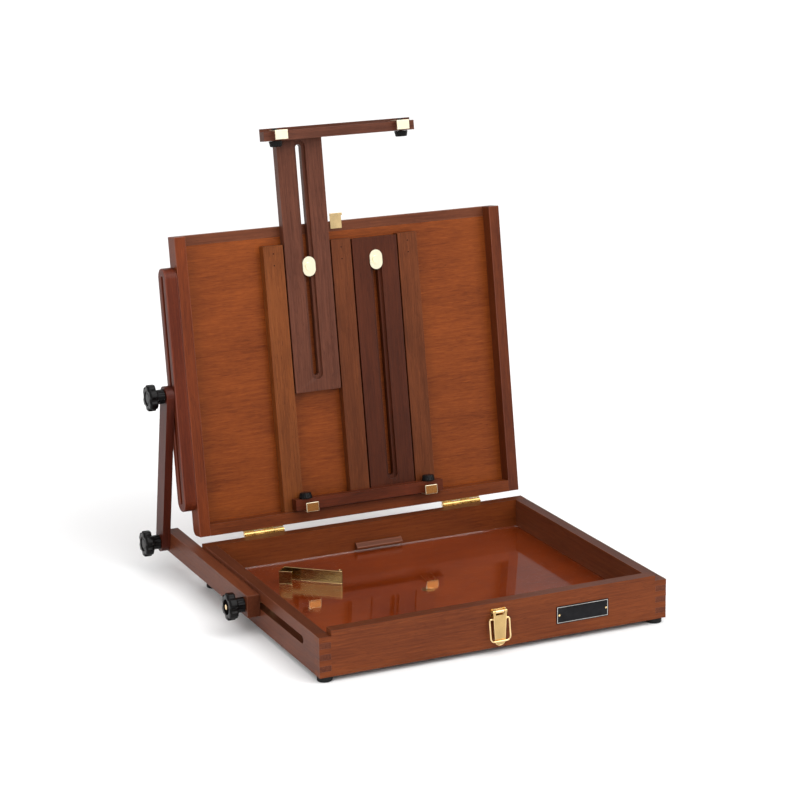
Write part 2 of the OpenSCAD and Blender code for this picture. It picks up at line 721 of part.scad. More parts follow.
// ---- Rail on the lid's left side, with a T slot for the strut's nut ----
rail_t = 25.5;
rail_s = [31, 318];
rail_slot_w = 7;
rail_pivot_s = 169.5;
rail_pivot_t = 12.8;
nut_w = 12.6;
module side_rail() {
    color(side_wood) on_lid() difference() {
        along_x(-arm_t, 0) round_rail(rail_s, rail_t / 2);
        along_x(-arm_t - cut, -arm_t + 6.2) round_rail([rail_s[0] + 9, rail_s[1] - 9], rail_slot_w / 2);
        along_x(-arm_t + 6, -arm_t + 11) round_rail([rail_s[0] + 6, rail_s[1] - 6], 6.75);
    }
}
// Stadium in (t, s) about the rail's middle line
module round_rail(s, r) { stadium(rail_pivot_t, s[0], s[1], r); }
module rail_nut() {
    color(brass) on_lid() difference() {
        block(-arm_t + 6.3, -arm_t + 10.7, rail_pivot_t - nut_w / 2, rail_pivot_t + nut_w / 2,
            rail_pivot_s - nut_w / 2, rail_pivot_s + nut_w / 2);
        rod_x(-arm_t, 0, rail_pivot_t, rail_pivot_s, bolt_r);
    }
}

// ---- Lower arm, sliding along the left wall ----
arm_y = [168, 447];
arm_z = [15.4, 40.9];
arm_bolt_y = 180;
pivot_y = 433;
pivot_z = 28;
bolt_head_r = 7;
bolt_head_h = 3.2;
module lower_arm() {
    color(side_wood) place() difference() {
        along_x(-arm_t, -side_gap) {
            r = (arm_z[1] - arm_z[0]) / 2;
            translate([arm_y[0], arm_z[0]]) square([arm_y[1] - arm_y[0] - r, 2 * r]);
            translate([arm_y[1] - r, arm_z[0] + r]) circle(r);
        }
        rod_x(-arm_t - cut, 0, arm_bolt_y, arm_bolt_z, bolt_r + 0.05);
        rod_x(-arm_t - cut, 0, pivot_y, pivot_z, bolt_r + 0.05);
        rod_x(-side_gap - bolt_head_h - 0.3, 0, pivot_y, pivot_z, bolt_head_r + 0.1);
    }
}
knob_x_arm = -arm_t - side_gap;
knob_x_strut = strut_x - side_gap;
module arm_bolt() {
    color(brass) place() {
        rod_x(knob_x_arm - knob_h, wall_t + 0.3, arm_bolt_y, arm_bolt_z, bolt_r);
        rod_x(wall_t + 0.3, wall_t + 1.5, arm_bolt_y, arm_bolt_z, 9);
        rod_x(wall_t + 1.5, wall_t + 4, arm_bolt_y, arm_bolt_z, bolt_head_r);
    }
}
module side_knob(x, y, z, bore_h) {
    color(plastic) place() translate([x, y, z]) rotate([0, -90, 0]) clamp_knob(bore_h);
}
module arm_knob() { side_knob(knob_x_arm, arm_bolt_y, arm_bolt_z, knob_h + cut); }
module pivot_bolt() {
    color(brass) place() {
        rod_x(knob_x_strut - knob_h + 3.2, -side_gap, pivot_y, pivot_z, bolt_r);
        rod_x(-side_gap - bolt_head_h, -side_gap, pivot_y, pivot_z, bolt_head_r);
    }
}
module pivot_knob() { side_knob(knob_x_strut, pivot_y, pivot_z, knob_h - 3); }

// ---- Strut from the arm's rear end up to the rail ----
top_y = lid_y + rail_pivot_s * sin(lid_lean) + rail_pivot_t * cos(lid_lean);
top_z = lid_z + rail_pivot_s * cos(lid_lean) - rail_pivot_t * sin(lid_lean);
strut_angle = atan2(top_z - pivot_z, top_y - pivot_y);
strut_span = norm([top_y - pivot_y, top_z - pivot_z]);
module strut() {
    color(side_wood) place() difference() {
        along_x(strut_x, strut_x + strut_t) translate([pivot_y, pivot_z]) rotate(strut_angle - 90)
            stadium(0, -strut_w / 2, strut_span + strut_w / 2, strut_w / 2);
        rod_x(strut_x - cut, 0, pivot_y, pivot_z, bolt_r + running);
        rod_x(strut_x - cut, 0, top_y, top_z, bolt_r + 0.05);
    }
}
module rail_bolt() {
    color(brass) place() rod_x(knob_x_strut - knob_h + 3.2, strut_x + strut_t, top_y, top_z, bolt_r);
}
module rail_knob() { side_knob(knob_x_strut, top_y, top_z, knob_h - 3); }

base_front_wall();
base_back_wall();
base_left_wall();
base_right_wall();
base_bottom_panel();
rubber_feet();
palette_cleat();
tripod_insert();
tripod_insert_screws();
nameplate();
nameplate_rivets();
latch_plate();
latch_screws();
latch_lever();
latch_bail();
hinge_base_leaves();
hinge_pins();
hinge_base_screws();
hinge_lid_leaves();
hinge_lid_screws();
lid_left_wall();
lid_right_wall();
lid_bottom_rail();
lid_top_rail();
lid_panel();
batten_left();
batten_middle();
batten_right();
batten_nails();
latch_strike();
side_rail();
rail_nut();
mast_clamp_plates();
mast_bolts();
mast_knob_left();
mast_knob_right();
upper_mast();
top_holder_bar();
lower_mast();
ledge_bar();
bar_screws_top();
bar_screws_ledge();
clip_top_left();
clip_top_right();
clip_ledge_left();
clip_ledge_right();
thumb_screw_top_left();
thumb_screw_top_right();
thumb_screw_ledge_left();
thumb_screw_ledge_right();
lower_arm();
arm_bolt();
arm_knob();
pivot_bolt();
pivot_knob();
strut();
rail_bolt();
rail_knob();
palette();
brass_clip();
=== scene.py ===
"""Looks of the table-top box easel: eased wooden parts, polished brass, moulded knobs, a clear palette.

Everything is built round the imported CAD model. Lengths are in metres.
"""

import json
from math import atan2, cos, pi, radians, sin, sqrt

import bmesh
import bpy
from mathutils import Matrix, Vector


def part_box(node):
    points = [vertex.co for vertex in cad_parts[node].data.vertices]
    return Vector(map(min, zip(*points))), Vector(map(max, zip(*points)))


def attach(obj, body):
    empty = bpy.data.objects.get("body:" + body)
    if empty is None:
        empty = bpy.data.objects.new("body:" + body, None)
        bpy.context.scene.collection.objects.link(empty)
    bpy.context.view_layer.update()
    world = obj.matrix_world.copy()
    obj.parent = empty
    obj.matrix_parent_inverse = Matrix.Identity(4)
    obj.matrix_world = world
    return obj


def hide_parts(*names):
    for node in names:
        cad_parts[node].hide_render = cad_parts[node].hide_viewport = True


MM = 0.001
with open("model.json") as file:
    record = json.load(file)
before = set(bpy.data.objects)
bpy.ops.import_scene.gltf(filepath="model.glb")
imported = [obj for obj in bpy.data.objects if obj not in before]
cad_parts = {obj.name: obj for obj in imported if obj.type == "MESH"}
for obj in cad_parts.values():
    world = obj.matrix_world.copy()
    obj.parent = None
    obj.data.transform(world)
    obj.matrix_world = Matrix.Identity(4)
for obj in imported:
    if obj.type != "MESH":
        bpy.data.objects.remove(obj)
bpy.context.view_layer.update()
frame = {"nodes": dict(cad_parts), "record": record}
record = frame["record"]

BODY = {node: body for body, nodes in record["behaviour"]["bodies"].items() for node in nodes}
SLOT = {part["node"]: part["material_slot"] for part in record["subparts"]}
JOINT = {joint["name"]: joint for joint in record["behaviour"]["joints"]}


def joint_axis(name):
    return Vector(JOINT[name]["axis"]).normalized()


def joint_place(name):
    return Vector(JOINT[name]["pos_m"])


RIGHT = Vector((1, 0, 0))
BACK = Vector((0, 1, 0))
UP = Vector((0, 0, 1))
UP_LID = joint_axis("upper_mast_slide")
BEHIND_LID = joint_axis("mast_knob_left_turn")
ALONG_STRUT = (joint_place("rail_knob_turn") - joint_place("pivot_knob_turn")).normalized()


# ---- Material graphs ----
class Graph:
    """A material's node tree, with short calls for the nodes used here."""

    def __init__(self, name):
        self.material = bpy.data.materials.new(name)
        self.material.use_nodes = True
        self.tree = self.material.node_tree
        self.tree.nodes.clear()
        self.output = self.tree.nodes.new("ShaderNodeOutputMaterial")
        self.shader = self.tree.nodes.new("ShaderNodeBsdfPrincipled")
        self.link(self.shader.outputs[0], self.output.inputs["Surface"])
        self.coords = self.tree.nodes.new("ShaderNodeTexCoord")

    def link(self, source, target):
        self.tree.links.new(source, target)

    def plug(self, value, socket):
        """Links a socket, or sets a plain value."""
        if isinstance(value, bpy.types.NodeSocket):
            self.link(value, socket)
        else:
            socket.default_value = value

    def math(self, operation, a, b=0.0, clamp=False):
        node = self.tree.nodes.new("ShaderNodeMath")
        node.operation = operation
        node.use_clamp = clamp
        self.plug(a, node.inputs[0])
        self.plug(b, node.inputs[1])
        return node.outputs[0]

    def dot(self, vector, axis):
        node = self.tree.nodes.new("ShaderNodeVectorMath")
        node.operation = "DOT_PRODUCT"
        self.link(vector, node.inputs[0])
        node.inputs[1].default_value = axis
        return node.outputs["Value"]

    def join(self, x, y, z):
        node = self.tree.nodes.new("ShaderNodeCombineXYZ")
        for value, socket in zip((x, y, z), node.inputs):
            self.plug(value, socket)
        return node.outputs[0]

    def noise(self, vector, scale, detail=2.0, roughness=0.5, distortion=0.0):
        node = self.tree.nodes.new("ShaderNodeTexNoise")
        self.link(vector, node.inputs["Vector"])
        node.inputs["Scale"].default_value = scale
        node.inputs["Detail"].default_value = detail
        node.inputs["Roughness"].default_value = roughness
        node.inputs["Distortion"].default_value = distortion
        return node.outputs["Fac"]

    def spread(self, value, low, high):
        """Stretches low..high to 0..1."""
        node = self.tree.nodes.new("ShaderNodeMapRange")
        self.link(value, node.inputs["Value"])
        node.inputs["From Min"].default_value = low
        node.inputs["From Max"].default_value = high
        return node.outputs["Result"]

    def blend(self, share, a, b):
        node = self.tree.nodes.new("ShaderNodeMix")
        node.data_type = "RGBA"
        self.plug(share, node.inputs["Factor"])
        for value, socket in ((a, node.inputs[6]), (b, node.inputs[7])):
            self.plug(value if isinstance(value, bpy.types.NodeSocket) else (*value, 1.0), socket)
        return node.outputs[2]

    def bump(self, height, distance, strength=1.0):
        node = self.tree.nodes.new("ShaderNodeBump")
        node.inputs["Strength"].default_value = strength
        node.inputs["Distance"].default_value = distance
        self.link(height, node.inputs["Height"])
        self.link(node.outputs[0], self.shader.inputs["Normal"])

    def set(self, **values):
        for name, value in values.items():
            socket = self.shader.inputs[name.replace("_", " ").title().replace("Ior", "IOR")]
            self.plug((*value, 1.0) if isinstance(value, tuple) else value, socket)


def wood(name, dark, light, grain, face, figure=0.3, ring=5.5, shine=0.13, painted_edge_shade=0.0, fibre=45,
         end_stain=0.35):
    """Stained and varnished wood. grain runs along the board and face looks out of its broad side.

    ring is the spacing of the growth rings in mm and figure how strongly they show. shine is the
    varnish's gloss, painted_edge_shade how much painted shade darkens the board's narrow faces, fibre
    how many times longer than wide a fibre is, and end_stain how much darker the end grain is.
    """
    g = Graph(name)
    grain = grain.normalized()
    side = grain.cross(face).normalized()
    out = side.cross(grain)
    place = g.coords.outputs["Object"]
    along, across, deep = g.dot(place, grain), g.dot(place, side), g.dot(place, out)
    fibre_space = g.join(g.math("MULTIPLY", along, 1.0 / fibre), across, deep)
    figure_space = g.join(g.math("MULTIPLY", along, 0.13), across, deep)
    blotch_space = g.join(g.math("MULTIPLY", along, 0.4), across, deep)

    fibres = g.noise(fibre_space, 1500.0, 4.0, 0.62)
    streaks = g.noise(fibre_space, 330.0, 3.0, 0.6)
    blotches = g.noise(blotch_space, 26.0, 3.0, 0.5)
    drift = g.noise(figure_space, 24.0, 2.0, 0.45, 0.3)
    rings = g.math("ADD", g.math("MULTIPLY", across, 1000.0 / ring), g.math("MULTIPLY", drift, 16.0))
    rings = g.math("FRACT", g.math("ADD", rings, g.math("MULTIPLY", deep, 400.0 / ring)))
    late_wood = g.math("POWER", rings, 3.0)
    pore_space = g.join(g.math("MULTIPLY", along, 0.06), across, deep)
    pores = g.spread(g.noise(pore_space, 1900.0, 1.0, 0.4), 0.66, 0.74)

    tone = g.math("MULTIPLY", g.spread(streaks, 0.34, 0.66), 0.28)
    tone = g.math("ADD", tone, g.math("MULTIPLY", g.spread(fibres, 0.34, 0.66), 0.44))
    tone = g.math("ADD", tone, g.math("MULTIPLY", g.spread(blotches, 0.3, 0.7), 0.36))
    tone = g.math("SUBTRACT", tone, g.math("MULTIPLY", late_wood, 0.42 * figure), clamp=True)
    colour = g.blend(tone, dark, light)
    # Deep stain tone for the pores and the end grain, and for the painted shade on the narrow faces.
    stain_dark_and_painted_shade = tuple(0.42 * c for c in dark)
    bright = tuple(1.35 * c for c in light)
    fleck_space = g.join(g.math("MULTIPLY", along, 0.07), across, deep)
    flecks = g.spread(g.noise(fleck_space, 820.0, 2.0, 0.5), 0.58, 0.72)
    colour = g.blend(g.math("MULTIPLY", flecks, 0.30), colour, bright)
    colour = g.blend(g.math("MULTIPLY", pores, 0.6), colour, stain_dark_and_painted_shade)
    # End grain takes more stain; the narrow faces across the board get painted shade.
    for axis, share in ((grain, end_stain), (side, painted_edge_shade)):
        turned = g.math("ABSOLUTE", g.dot(g.coords.outputs["Normal"], axis))
        colour = g.blend(g.math("MULTIPLY", g.spread(turned, 0.75, 0.95), share), colour, stain_dark_and_painted_shade)

    relief = g.math("SUBTRACT", fibres, g.math("MULTIPLY", pores, 1.4))
    g.bump(relief, 0.07 * MM, 0.55)
    rough = g.math("ADD", g.math("MULTIPLY", fibres, 0.14), g.math("MULTIPLY", pores, 0.12))
    g.set(base_color=colour, roughness=g.math("ADD", rough, 0.36), specular_ior_level=shine)
    g.set(coat_weight=0.3 * shine, coat_roughness=0.2)
    return g.material


def brass(name, colour, roughness=0.16, brushed=None, wear=0.28):
    """Polished brass with faint handling marks, brushed along an axis where one is given."""
    g = Graph(name)
    place = g.coords.outputs["Object"]
    marks = g.noise(place, 420.0, 4.0, 0.65)
    clouds = g.noise(place, 70.0, 3.0, 0.5)
    if brushed is None:
        lines = marks
    else:
        along = g.math("MULTIPLY", g.dot(place, brushed), 0.02)
        side = UP if abs(brushed.dot(UP)) < 0.7 else BACK
        brush_space = g.join(along, g.dot(place, brushed.cross(side)), g.dot(place, side))
        lines = g.noise(brush_space, 3500.0, 3.0, 0.6)
    worn = tuple(min(1.0, 1.06 * c) for c in colour)
    dull = tuple((1.0 - wear) * c for c in colour)
    tint = g.blend(g.spread(clouds, 0.3, 0.7), dull, worn)
    tint = g.blend(g.math("MULTIPLY", g.spread(lines, 0.45, 0.75), 0.2), tint, dull)
    g.bump(lines, 0.02 * MM, 0.5 * wear)
    rough = g.math("ADD", g.math("MULTIPLY", g.spread(marks, 0.3, 0.8), 0.3 * wear), roughness)
    g.set(base_color=tint, metallic=1.0, roughness=rough)
    return g.material


def moulded(name, colour, roughness, grain_size, relief):
    """Moulded plastic or rubber with a fine skin texture and rubbed patches."""
    g = Graph(name)
    place = g.coords.outputs["Object"]
    skin = g.noise(place, 1.0 / grain_size, 3.0, 0.6)
    rubbed = g.noise(place, 90.0, 3.0, 0.5)
    pale = tuple(c * 1.7 + 0.002 for c in colour)
    g.bump(skin, relief, 0.5)
    g.set(base_color=g.blend(g.spread(rubbed, 0.35, 0.75), colour, pale), specular_ior_level=0.10)
    g.set(roughness=g.math("ADD", g.math("MULTIPLY", rubbed, 0.10), roughness))
    return g.material


def clear_sheet(name):
    """Clear acrylic: bends and mirrors what is seen, and lets lamps through to what lies below."""
    g = Graph(name)
    place = g.coords.outputs["Object"]
    smears = g.noise(place, 38.0, 5.0, 0.6, 0.6)
    scratches = g.noise(g.join(g.math("MULTIPLY", g.dot(place, Vector((0.8, 0.6, 0))), 0.03),
                               g.dot(place, Vector((-0.6, 0.8, 0))), g.dot(place, UP)), 1300.0, 2.0, 0.5)
    rough = g.math("ADD", g.math("MULTIPLY", g.spread(smears, 0.45, 0.8), 0.05), 0.012)
    g.bump(scratches, 0.004 * MM, 0.15)
    g.set(base_color=(0.97, 0.95, 0.92), roughness=rough)
    g.set(transmission_weight=1.0, ior=1.49, specular_ior_level=0.55)
    open_to_lamps = g.tree.nodes.new("ShaderNodeBsdfTransparent")
    open_to_lamps.inputs["Color"].default_value = (0.93, 0.91, 0.88, 1.0)
    rays = g.tree.nodes.new("ShaderNodeLightPath")
    either = g.tree.nodes.new("ShaderNodeMixShader")
    g.link(g.math("MAXIMUM", rays.outputs["Is Shadow Ray"], rays.outputs["Is Diffuse Ray"]), either.inputs[0])
    g.link(g.shader.outputs[0], either.inputs[1])
    g.link(open_to_lamps.outputs[0], either.inputs[2])
    g.link(either.outputs[0], g.output.inputs["Surface"])
    return g.material


def pale_floor(name):
    g = Graph(name)
    specks = g.noise(g.coords.outputs["Object"], 3.0, 2.0)
    g.set(base_color=g.blend(specks, (0.90, 0.90, 0.90), (0.93, 0.93, 0.93)), roughness=0.75)
    return g.material


# Stain tones: each is (dark, light)
FRAME_TONES = ((0.074, 0.014, 0.003), (0.180, 0.042, 0.009))
SIDE_TONES = ((0.058, 0.013, 0.005), (0.150, 0.040, 0.015))
PANEL_TONES = ((0.100, 0.019, 0.003), (0.245, 0.056, 0.009))
MAST_TONES = ((0.044, 0.012, 0.006), (0.130, 0.042, 0.023))

GRAIN = {
    "base_front_wall": (RIGHT, BACK), "base_back_wall": (RIGHT, BACK),
    "base_left_wall": (BACK, RIGHT), "base_right_wall": (BACK, RIGHT),
    "base_bottom_panel": (RIGHT, UP), "palette_cleat": (RIGHT, BACK),
    "lid_left_wall": (UP_LID, RIGHT), "lid_right_wall": (UP_LID, RIGHT),
    "lid_bottom_rail": (RIGHT, BEHIND_LID), "lid_top_rail": (RIGHT, BEHIND_LID),
    "lid_panel": (RIGHT, BEHIND_LID), "batten_left": (UP_LID, BEHIND_LID),
    "batten_middle": (UP_LID, BEHIND_LID), "batten_right": (UP_LID, BEHIND_LID),
    "side_rail": (UP_LID, RIGHT), "upper_mast": (UP_LID, BEHIND_LID), "lower_mast": (UP_LID, BEHIND_LID),
    "top_holder_bar": (RIGHT, BEHIND_LID), "ledge_bar": (RIGHT, BEHIND_LID),
    "lower_arm": (BACK, RIGHT), "strut": (ALONG_STRUT, RIGHT),
}
TONES = {
    "wood_frame": FRAME_TONES, "wood_side": SIDE_TONES, "wood_panel": PANEL_TONES, "wood_mast": MAST_TONES,
}
OWN_TONES = {
    "base_bottom_panel": ((0.105, 0.013, 0.0015), (0.245, 0.038, 0.004)),
    "palette_cleat": ((0.055, 0.012, 0.003), (0.140, 0.036, 0.010)),
    "batten_left": ((0.083, 0.020, 0.004), (0.210, 0.058, 0.013)),
    "batten_middle": ((0.054, 0.012, 0.003), (0.138, 0.036, 0.010)),
    "batten_right": ((0.061, 0.014, 0.003), (0.155, 0.040, 0.011)),
    "lid_top_rail": ((0.060, 0.014, 0.005), (0.150, 0.044, 0.018)),
    "lid_bottom_rail": ((0.068, 0.013, 0.003), (0.178, 0.040, 0.009)),
    "lid_left_wall": ((0.070, 0.012, 0.003), (0.180, 0.035, 0.007)),
    "lid_right_wall": ((0.050, 0.009, 0.003), (0.128, 0.029, 0.008)),
    "lower_mast": ((0.030, 0.006, 0.002), (0.083, 0.018, 0.006)),
    "ledge_bar": ((0.042, 0.008, 0.002), (0.118, 0.022, 0.007)),
    "side_rail": ((0.046, 0.006, 0.002), (0.120, 0.020, 0.005)),
    "strut": ((0.032, 0.005, 0.002), (0.085, 0.014, 0.006)),
}
VENEERED = ("base_bottom_panel", "lid_panel")


def tones_for(node):
    return OWN_TONES.get(node, TONES[SLOT[node]])


def wood_for(node):
    grain, face = GRAIN[node]
    if node in VENEERED:
        shine = 0.03 if node == "base_bottom_panel" else 0.12
        return wood(f"{node}_wood", *tones_for(node), grain, face, figure=0.2, ring=9.0, shine=shine,
                    fibre=16)
    # The base walls' narrow tops get painted shade.
    if node.startswith("base"):
        return wood(f"{node}_wood", *tones_for(node), grain, face, painted_edge_shade=0.5, end_stain=0.06)
    return wood(f"{node}_wood", *tones_for(node), grain, face)


def rubbed_edge_with_painted_highlight(node):
    """The same wood, paler and glossier along an edge: stain rubbed thin there, and a painted highlight."""
    grain, face = GRAIN[node]
    rubbed_and_highlit = [tuple(min(1.0, 1.35 * c + 0.01) for c in tone) for tone in tones_for(node)]
    return wood(f"{node}_edge", *rubbed_and_highlit, grain, face, shine=0.25)


STRIP_LINE = Vector((0.9, -0.43, 0)).normalized()
BRASS = brass("brass_polished", (0.86, 0.62, 0.31), 0.12, wear=0.2)
BRASS_LEVER = brass("brass_lever", (0.56, 0.38, 0.16), 0.24, UP, wear=0.15)
# Brass for the ledge clips' faces: the clips' brass made darker and more orange, a painted reflection.
BRASS_PAINTED_DIM_REFLECTION = brass("brass_painted_dim_reflection", (0.36, 0.155, 0.045), 0.24, RIGHT, wear=0.15)
BRASS_PLATE = brass("brass_plate", (1.0, 0.90, 0.66), 0.30, wear=0.02)
BRASS_HINGE = brass("brass_hinge", (0.60, 0.39, 0.14), 0.24, wear=0.3)
BRASS_STRIP = brass("brass_strip", (0.46, 0.35, 0.14), 0.18, STRIP_LINE, wear=0.2)
# The strip's painted reflections on its one brass: a painted amber reflection, a painted glint, and a painted
# dark reflection on the bent tab.
BRASS_PAINTED_AMBER = brass("brass_painted_amber_reflection", (0.42, 0.22, 0.05), 0.12, STRIP_LINE, wear=0.2)
BRASS_PAINTED_GLINT = brass("brass_painted_glint", (0.95, 0.66, 0.16), 0.30, UP, wear=0.1)
BRASS_PAINTED_DARK = brass("brass_painted_dark_reflection", (0.16, 0.115, 0.05), 0.30, wear=0.4)
BLACK = moulded("black_plastic", (0.003, 0.0025, 0.0025), 0.13, 0.5 * MM, 0.02 * MM)
RUBBER = moulded("black_rubber", (0.008, 0.008, 0.008), 0.55, 0.35 * MM, 0.04 * MM)
ENAMEL = moulded("black_enamel", (0.006, 0.006, 0.007), 0.46, 0.2 * MM, 0.002 * MM)
PALE_PRINT = moulded("pale_border", (0.40, 0.39, 0.37), 0.30, 0.3 * MM, 0.005 * MM)
ACRYLIC = clear_sheet("clear_acrylic")
FLOOR = pale_floor("pale_floor")
SURFACE = {
    "brass": BRASS, "black_plastic": BLACK, "rubber": RUBBER, "black_plate": ENAMEL, "acrylic": ACRYLIC,
}


# ---- Pieces ----
def new_piece(name, mesh_or_bmesh, body, materials, replaced=()):
    mesh = mesh_or_bmesh
    if isinstance(mesh, bmesh.types.BMesh):
        mesh = bpy.data.meshes.new(name)
        mesh_or_bmesh.to_mesh(mesh)
        mesh_or_bmesh.free()
    piece = bpy.data.objects.new(name, mesh)
    bpy.context.scene.collection.objects.link(piece)
    mesh.materials.clear()
    for material in materials:
        mesh.materials.append(material)
    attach(piece, body)
    if replaced:
        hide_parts(*replaced)
    return piece


def shade_smooth(mesh, sharper_than):
    """Smooth shading, with a crease where faces turn by more than sharper_than degrees."""
    mesh.polygons.foreach_set("use_smooth", [True] * len(mesh.polygons))
    mesh.set_sharp_from_angle(angle=radians(sharper_than))


def bridge(shape, low, high, look=0):
    """Joins two closed loops of points with a band of faces."""
    for i in range(len(low)):
        j = (i + 1) % len(low)
        shape.faces.new((low[i], low[j], high[j], high[i])).material_index = look


def ease_edges(piece, width, sharper_than=30, edge_slot=0):
    """Rounds a piece's edges, the new strips in the material of edge_slot."""
    shade_smooth(piece.data, sharper_than)
    bevel = piece.modifiers.new("eased", "BEVEL")
    bevel.width = width
    bevel.segments = 2
    bevel.limit_method = "ANGLE"
    bevel.angle_limit = radians(sharper_than)
    bevel.harden_normals = True
    bevel.material = edge_slot


def eased(node, materials, width):
    """A copy of a CAD node with its edges rounded, shown in the node's place."""
    shape = bmesh.new()
    shape.from_mesh(frame["nodes"][node].data)
    bmesh.ops.remove_doubles(shape, verts=shape.verts, dist=0.002 * MM)
    bmesh.ops.dissolve_limit(shape, angle_limit=radians(1.0), verts=shape.verts, edges=shape.edges)
    for face in shape.faces:
        face.material_index = 0
    piece = new_piece(f"{node}_eased", shape, BODY[node], materials, (node,))
    ease_edges(piece, width, edge_slot=len(materials) - 1)


COMMON_EASE = 0.7 * MM
WALL_EASE = 0.25 * MM
WOOD_EASE = {
    "upper_mast": 0.5 * MM, "lower_mast": 0.5 * MM, "strut": 1.2 * MM, "lower_arm": 1.0 * MM,
    "side_rail": 1.2 * MM, "lid_panel": 0.1 * MM, "base_bottom_panel": 0.1 * MM,
    "base_front_wall": WALL_EASE, "base_back_wall": WALL_EASE,
    "base_left_wall": WALL_EASE, "base_right_wall": WALL_EASE,
}
for node in GRAIN:
    eased(node, [wood_for(node), rubbed_edge_with_painted_highlight(node)], WOOD_EASE.get(node, COMMON_EASE))

BRASS_NODES = {
    "latch_plate": BRASS, "latch_lever": BRASS_LEVER, "latch_strike": BRASS,
    "mast_clamp_plates": BRASS_PLATE, "hinge_base_leaves": BRASS_HINGE, "hinge_lid_leaves": BRASS_HINGE,
}
for node, surface in BRASS_NODES.items():
    eased(node, [surface], 0.18 * MM)
for side in ("left", "right"):
    eased(f"clip_top_{side}", [BRASS_PLATE], 0.25 * MM)
    # The ledge clips' faces carry a painted reflection; their eased edges are in the clips' own pale brass.
    eased(f"clip_ledge_{side}", [BRASS_PAINTED_DIM_REFLECTION, BRASS_PLATE], 0.5 * MM)
eased("nameplate", [ENAMEL], 0.15 * MM)
eased("palette", [ACRYLIC], 0.3 * MM)
eased("rubber_feet", [RUBBER], 0.3 * MM)


# ---- Turned and moulded pieces, built from rings of points round an axis ----
def lathe(rings, around):
    """A closed mesh from rings; each ring is (height, radius function of the angle)."""
    shape = bmesh.new()
    loops = []
    for height, radius in rings:
        points = []
        for i in range(around):
            angle = 2 * pi * i / around
            points.append(shape.verts.new((radius(angle) * cos(angle), radius(angle) * sin(angle), height)))
        loops.append(points)
    for low, high in zip(loops, loops[1:]):
        bridge(shape, low, high)
    shape.faces.new(reversed(loops[0]))
    shape.faces.new(loops[-1])
    return shape


def stand_on(node, joint, sense):
    """A turned part's place and length. Its Z runs out along sense from its lowest point on the axis."""
    axis = joint_axis(joint) * sense
    place = joint_place(joint)
    heights = [(vertex.co - place).dot(axis) for vertex in frame["nodes"][node].data.vertices]
    turn = axis.to_track_quat("Z", "Y").to_matrix().to_4x4()
    return Matrix.Translation(place + axis * min(heights)) @ turn, max(heights) - min(heights)


def round_ring(radius):
    return lambda angle: radius


def fluted(radius, depth, count):
    return lambda angle: radius - depth * (0.5 + 0.5 * cos(count * angle)) ** 3


KNOB_R = 15.5 * MM
LOBES = 6
SCALLOP_R = 3.6 * MM
SCALLOP_AT = KNOB_R + SCALLOP_R - 1.9 * MM


def lobed(inset):
    """Outline of the knob's head: a circle with round scallops, drawn in by inset."""
    def radius(angle):
        step = 2 * pi / LOBES
        off = abs((angle + step / 2) % step - step / 2)
        reach = SCALLOP_R + inset + 0.5 * MM
        sideways = SCALLOP_AT * sin(off)
        outer = KNOB_R - inset
        if sideways >= reach:
            return outer
        return min(outer, SCALLOP_AT * cos(off) - sqrt(reach ** 2 - sideways ** 2))
    return radius


def knob_mesh(height, bore_shown):
    """Clamp knob: fluted hub, scalloped head with rounded rims and a sunk face."""
    hub, head = 8.6 * MM, 10.4 * MM
    sunk = (3.2 if bore_shown else 1.3) * MM
    flute, flutes = 0.45 * MM, 12
    rings = [
        (0.0, round_ring(hub - 0.5 * MM)), (0.4 * MM, round_ring(hub)),
        (1.4 * MM, fluted(hub, flute, flutes)), (head - 1.2 * MM, fluted(hub - 0.2 * MM, flute, flutes)),
        (head - 0.4 * MM, round_ring(hub + 0.1 * MM)),
        (head, lobed(2.2 * MM)), (head + 0.3 * MM, lobed(0.8 * MM)), (head + 1.0 * MM, lobed(0.15 * MM)),
        (head + 2.2 * MM, lobed(0.0)), (height - 2.2 * MM, lobed(0.0)), (height - 1.0 * MM, lobed(0.25 * MM)),
        (height - 0.3 * MM, lobed(1.0 * MM)), (height, lobed(2.4 * MM)),
        (height, round_ring(9.0 * MM)), (height - 0.5 * MM, round_ring(8.4 * MM)),
        (height - sunk, round_ring(8.0 * MM)),
    ]
    if bore_shown:
        rings += [(height - sunk, round_ring(4.4 * MM)), (height - sunk - 0.8 * MM, round_ring(3.6 * MM))]
    else:
        rings += [(height - sunk, round_ring(6.0 * MM)), (height - sunk + 0.5 * MM, round_ring(5.6 * MM))]
    return lathe(rings, 144)


def moulded_piece(node, joint, sense, build, material):
    place, length = stand_on(node, joint, sense)
    shape = build(length)
    shape.transform(place)
    piece = new_piece(f"{node}_moulded", shape, BODY[node], [material], (node,))
    shade_smooth(piece.data, 38)


def clamp_knobs():
    for name in ("arm", "pivot", "rail"):
        shows_bore = name == "arm"
        moulded_piece(f"{name}_knob", f"{name}_knob_turn", -1, lambda h: knob_mesh(h, shows_bore), BLACK)
    for side in ("left", "right"):
        moulded_piece(f"mast_knob_{side}", f"mast_knob_{side}_turn", 1, lambda h: knob_mesh(h, False), BLACK)


